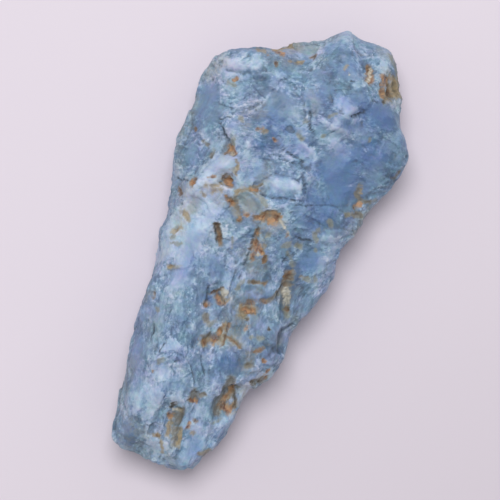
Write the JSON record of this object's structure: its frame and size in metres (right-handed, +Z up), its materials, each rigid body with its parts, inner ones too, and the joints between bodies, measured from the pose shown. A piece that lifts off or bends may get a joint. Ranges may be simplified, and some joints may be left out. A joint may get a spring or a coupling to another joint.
{
  "type": "rough blue opal",
  "caption": "Rough, broken piece of opaque blue common opal with rust-brown veins and pits, lying on its flattest side.",
  "frame": {"origin": "on the surface that the stone rests on, under the middle of the stone", "axes": "+Y along the stone's length towards its wide end, +X across it, +Z up through its thickness"},
  "size_m": [0.04, 0.0852, 0.0192],
  "materials": {
    "opal": "waxy, uneven break, half matte, with rust-brown and ochre stains in its pits and cracks"
  },
  "bodies": {
    "root": {"rough_opal": "opal"}
  },
  "joints": []
}
